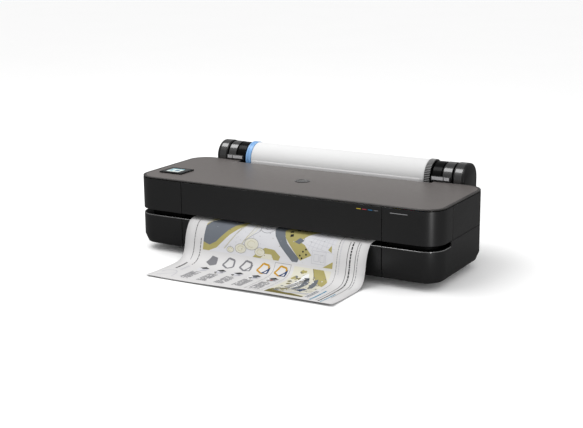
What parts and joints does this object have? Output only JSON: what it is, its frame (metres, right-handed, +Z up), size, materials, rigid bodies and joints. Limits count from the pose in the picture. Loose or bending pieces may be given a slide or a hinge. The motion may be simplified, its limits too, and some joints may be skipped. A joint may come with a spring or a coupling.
{
  "type": "large format plotter",
  "caption": "Roll-fed desktop large format plotter with rounded dark covers, grey top plate, touch panel, rear paper roll and a printed sheet curling out of the front slot.",
  "frame": {"origin": "middle of the footprint, on the surface the feet stand on", "axes": "+X to the right along the roll, +Y to the rear, +Z up; the paper leaves towards -Y"},
  "size_m": [1.013, 0.68, 0.289],
  "materials": {
    "cover_black": "fine satin texture",
    "slot_black": "matte",
    "top_taupe": "fine satin paint",
    "rim_grey": "satin",
    "panel_gloss": "gloss",
    "screen_glass": "gloss",
    "steel_sheet": "satin",
    "rod_steel": "polished",
    "alloy": "satin",
    "rubber_black": "matte",
    "mech_plastic": "satin",
    "ink_yellow": "satin",
    "ink_magenta": "satin",
    "ink_cyan": "satin",
    "ink_black": "satin",
    "board_green": "satin",
    "holder_black": "satin gloss",
    "saddle_grey": "satin",
    "flange_blue": "satin",
    "flange_black": "knurled",
    "roll_paper": "matte"
  },
  "bodies": {
    "chassis": {"base_pan": "steel_sheet", "lower_front_cover": "cover_black", "lower_left_cover": "cover_black", "lower_right_cover": "cover_black", "lower_rear_cover": "cover_black", "upper_left_cover": "cover_black", "upper_left_side": "cover_black", "upper_right_side": "cover_black", "upper_rear_cover": "cover_black", "top_rim": "rim_grey", "top_plate": "top_taupe", "control_panel": "panel_gloss", "control_screen": "screen_glass", "slot_liner_left": "slot_black", "slot_liner_right": "slot_black", "exit_guide": "slot_black", "foot_front_left": "rubber_black", "foot_front_right": "rubber_black", "foot_rear_left": "rubber_black", "foot_rear_right": "rubber_black", "side_frame_left": "steel_sheet", "side_frame_right": "steel_sheet", "rod_bracket_left": "steel_sheet", "rod_bracket_right": "steel_sheet", "carriage_rod": "rod_steel", "carriage_belt": "rubber_black", "carriage_motor": "steel_sheet", "platen": "mech_plastic", "feed_motor": "steel_sheet", "ink_bay": "mech_plastic", "main_board": "board_green", "power_supply": "steel_sheet", "power_inlet": "mech_plastic", "roll_holder_left": "holder_black", "roll_holder_right": "holder_black", "roll_saddle_left": "saddle_grey", "roll_saddle_right": "saddle_grey", "end_cap_left": "holder_black", "end_cap_right": "holder_black", "roll_tray": "cover_black", "paper_web": "roll_paper"},
    "front_door": {"front_door": "cover_black"},
    "ink_door": {"ink_door": "cover_black"},
    "carriage": {"carriage": "mech_plastic", "print_head": "mech_plastic"},
    "drive_pulley": {"drive_pulley": "alloy"},
    "idler_pulley": {"idler_pulley": "alloy"},
    "spindle": {"spindle_shaft": "alloy", "paper_roll": "roll_paper", "flange_left": "flange_blue", "flange_right": "flange_black"},
    "feed_roller": {"feed_roller": "rod_steel"},
    "pinch_rollers": {"pinch_rollers": "rubber_black"},
    "cutter": {"cutter_block": "mech_plastic"},
    "cap_sled": {"cap_sled": "mech_plastic"},
    "cartridge_1": {"ink_cartridge_1": "ink_yellow"},
    "cartridge_2": {"ink_cartridge_2": "ink_magenta"},
    "cartridge_3": {"ink_cartridge_3": "ink_cyan"},
    "cartridge_4": {"ink_cartridge_4": "ink_black"},
    "power_switch": {"power_switch": "mech_plastic"}
  },
  "joints": [
    {"name": "front_door_hinge", "type": "hinge", "parent": "chassis", "child": "front_door", "pos_m": [0, -0.106, 0.225], "axis": [-1, 0, 0], "range_deg": [0, 80]},
    {"name": "ink_door_hinge", "type": "hinge", "parent": "chassis", "child": "ink_door", "pos_m": [0.5035, -0.0105, 0.178], "axis": [0, 0, 1], "range_deg": [0, 90]},
    {"name": "carriage_slide", "type": "slide", "parent": "chassis", "child": "carriage", "axis": [1, 0, 0], "range_m": [-0.78, 0]},
    {"name": "drive_pulley_spin", "type": "hinge", "parent": "chassis", "child": "drive_pulley", "pos_m": [0.475, 0.083, 0.172], "axis": [0, 1, 0], "continuous": true},
    {"name": "idler_pulley_spin", "type": "hinge", "parent": "chassis", "child": "idler_pulley", "pos_m": [-0.475, 0.083, 0.172], "axis": [0, 1, 0], "continuous": true},
    {"name": "roll_spin", "type": "hinge", "parent": "chassis", "child": "spindle", "pos_m": [0, 0.289, 0.237], "axis": [1, 0, 0], "continuous": true},
    {"name": "feed_roller_spin", "type": "hinge", "parent": "chassis", "child": "feed_roller", "pos_m": [0, 0.106, 0.1104], "axis": [1, 0, 0], "continuous": true},
    {"name": "pinch_roller_spin", "type": "hinge", "parent": "chassis", "child": "pinch_rollers", "pos_m": [0, 0.106, 0.1316], "axis": [1, 0, 0], "continuous": true},
    {"name": "cutter_slide", "type": "slide", "parent": "chassis", "child": "cutter", "axis": [1, 0, 0], "range_m": [0, 0.63]},
    {"name": "cap_lift", "type": "slide", "parent": "chassis", "child": "cap_sled", "axis": [0, 0, 1], "range_m": [-0.006, 0], "stiffness_N_per_m": 600, "springref_m": 0.006},
    {"name": "cartridge_1_release", "type": "slide", "parent": "chassis", "child": "cartridge_1", "axis": [0, -1, 0], "range_m": [0, 0.006]},
    {"name": "cartridge_2_release", "type": "slide", "parent": "chassis", "child": "cartridge_2", "axis": [0, -1, 0], "range_m": [0, 0.006]},
    {"name": "cartridge_3_release", "type": "slide", "parent": "chassis", "child": "cartridge_3", "axis": [0, -1, 0], "range_m": [0, 0.006]},
    {"name": "cartridge_4_release", "type": "slide", "parent": "chassis", "child": "cartridge_4", "axis": [0, -1, 0], "range_m": [0, 0.006]},
    {"name": "power_switch_rock", "type": "hinge", "parent": "chassis", "child": "power_switch", "pos_m": [-0.247, 0.2453, 0.074], "axis": [1, 0, 0], "range_deg": [0, 12]}
  ],
  "couplings": [
    {"joint": "drive_pulley_spin", "follows": "carriage_slide", "rad_per_m": -100},
    {"joint": "idler_pulley_spin", "follows": "carriage_slide", "rad_per_m": -100},
    {"joint": "feed_roller_spin", "follows": "roll_spin", "ratio": 5},
    {"joint": "pinch_roller_spin", "follows": "roll_spin", "ratio": -5}
  ]
}
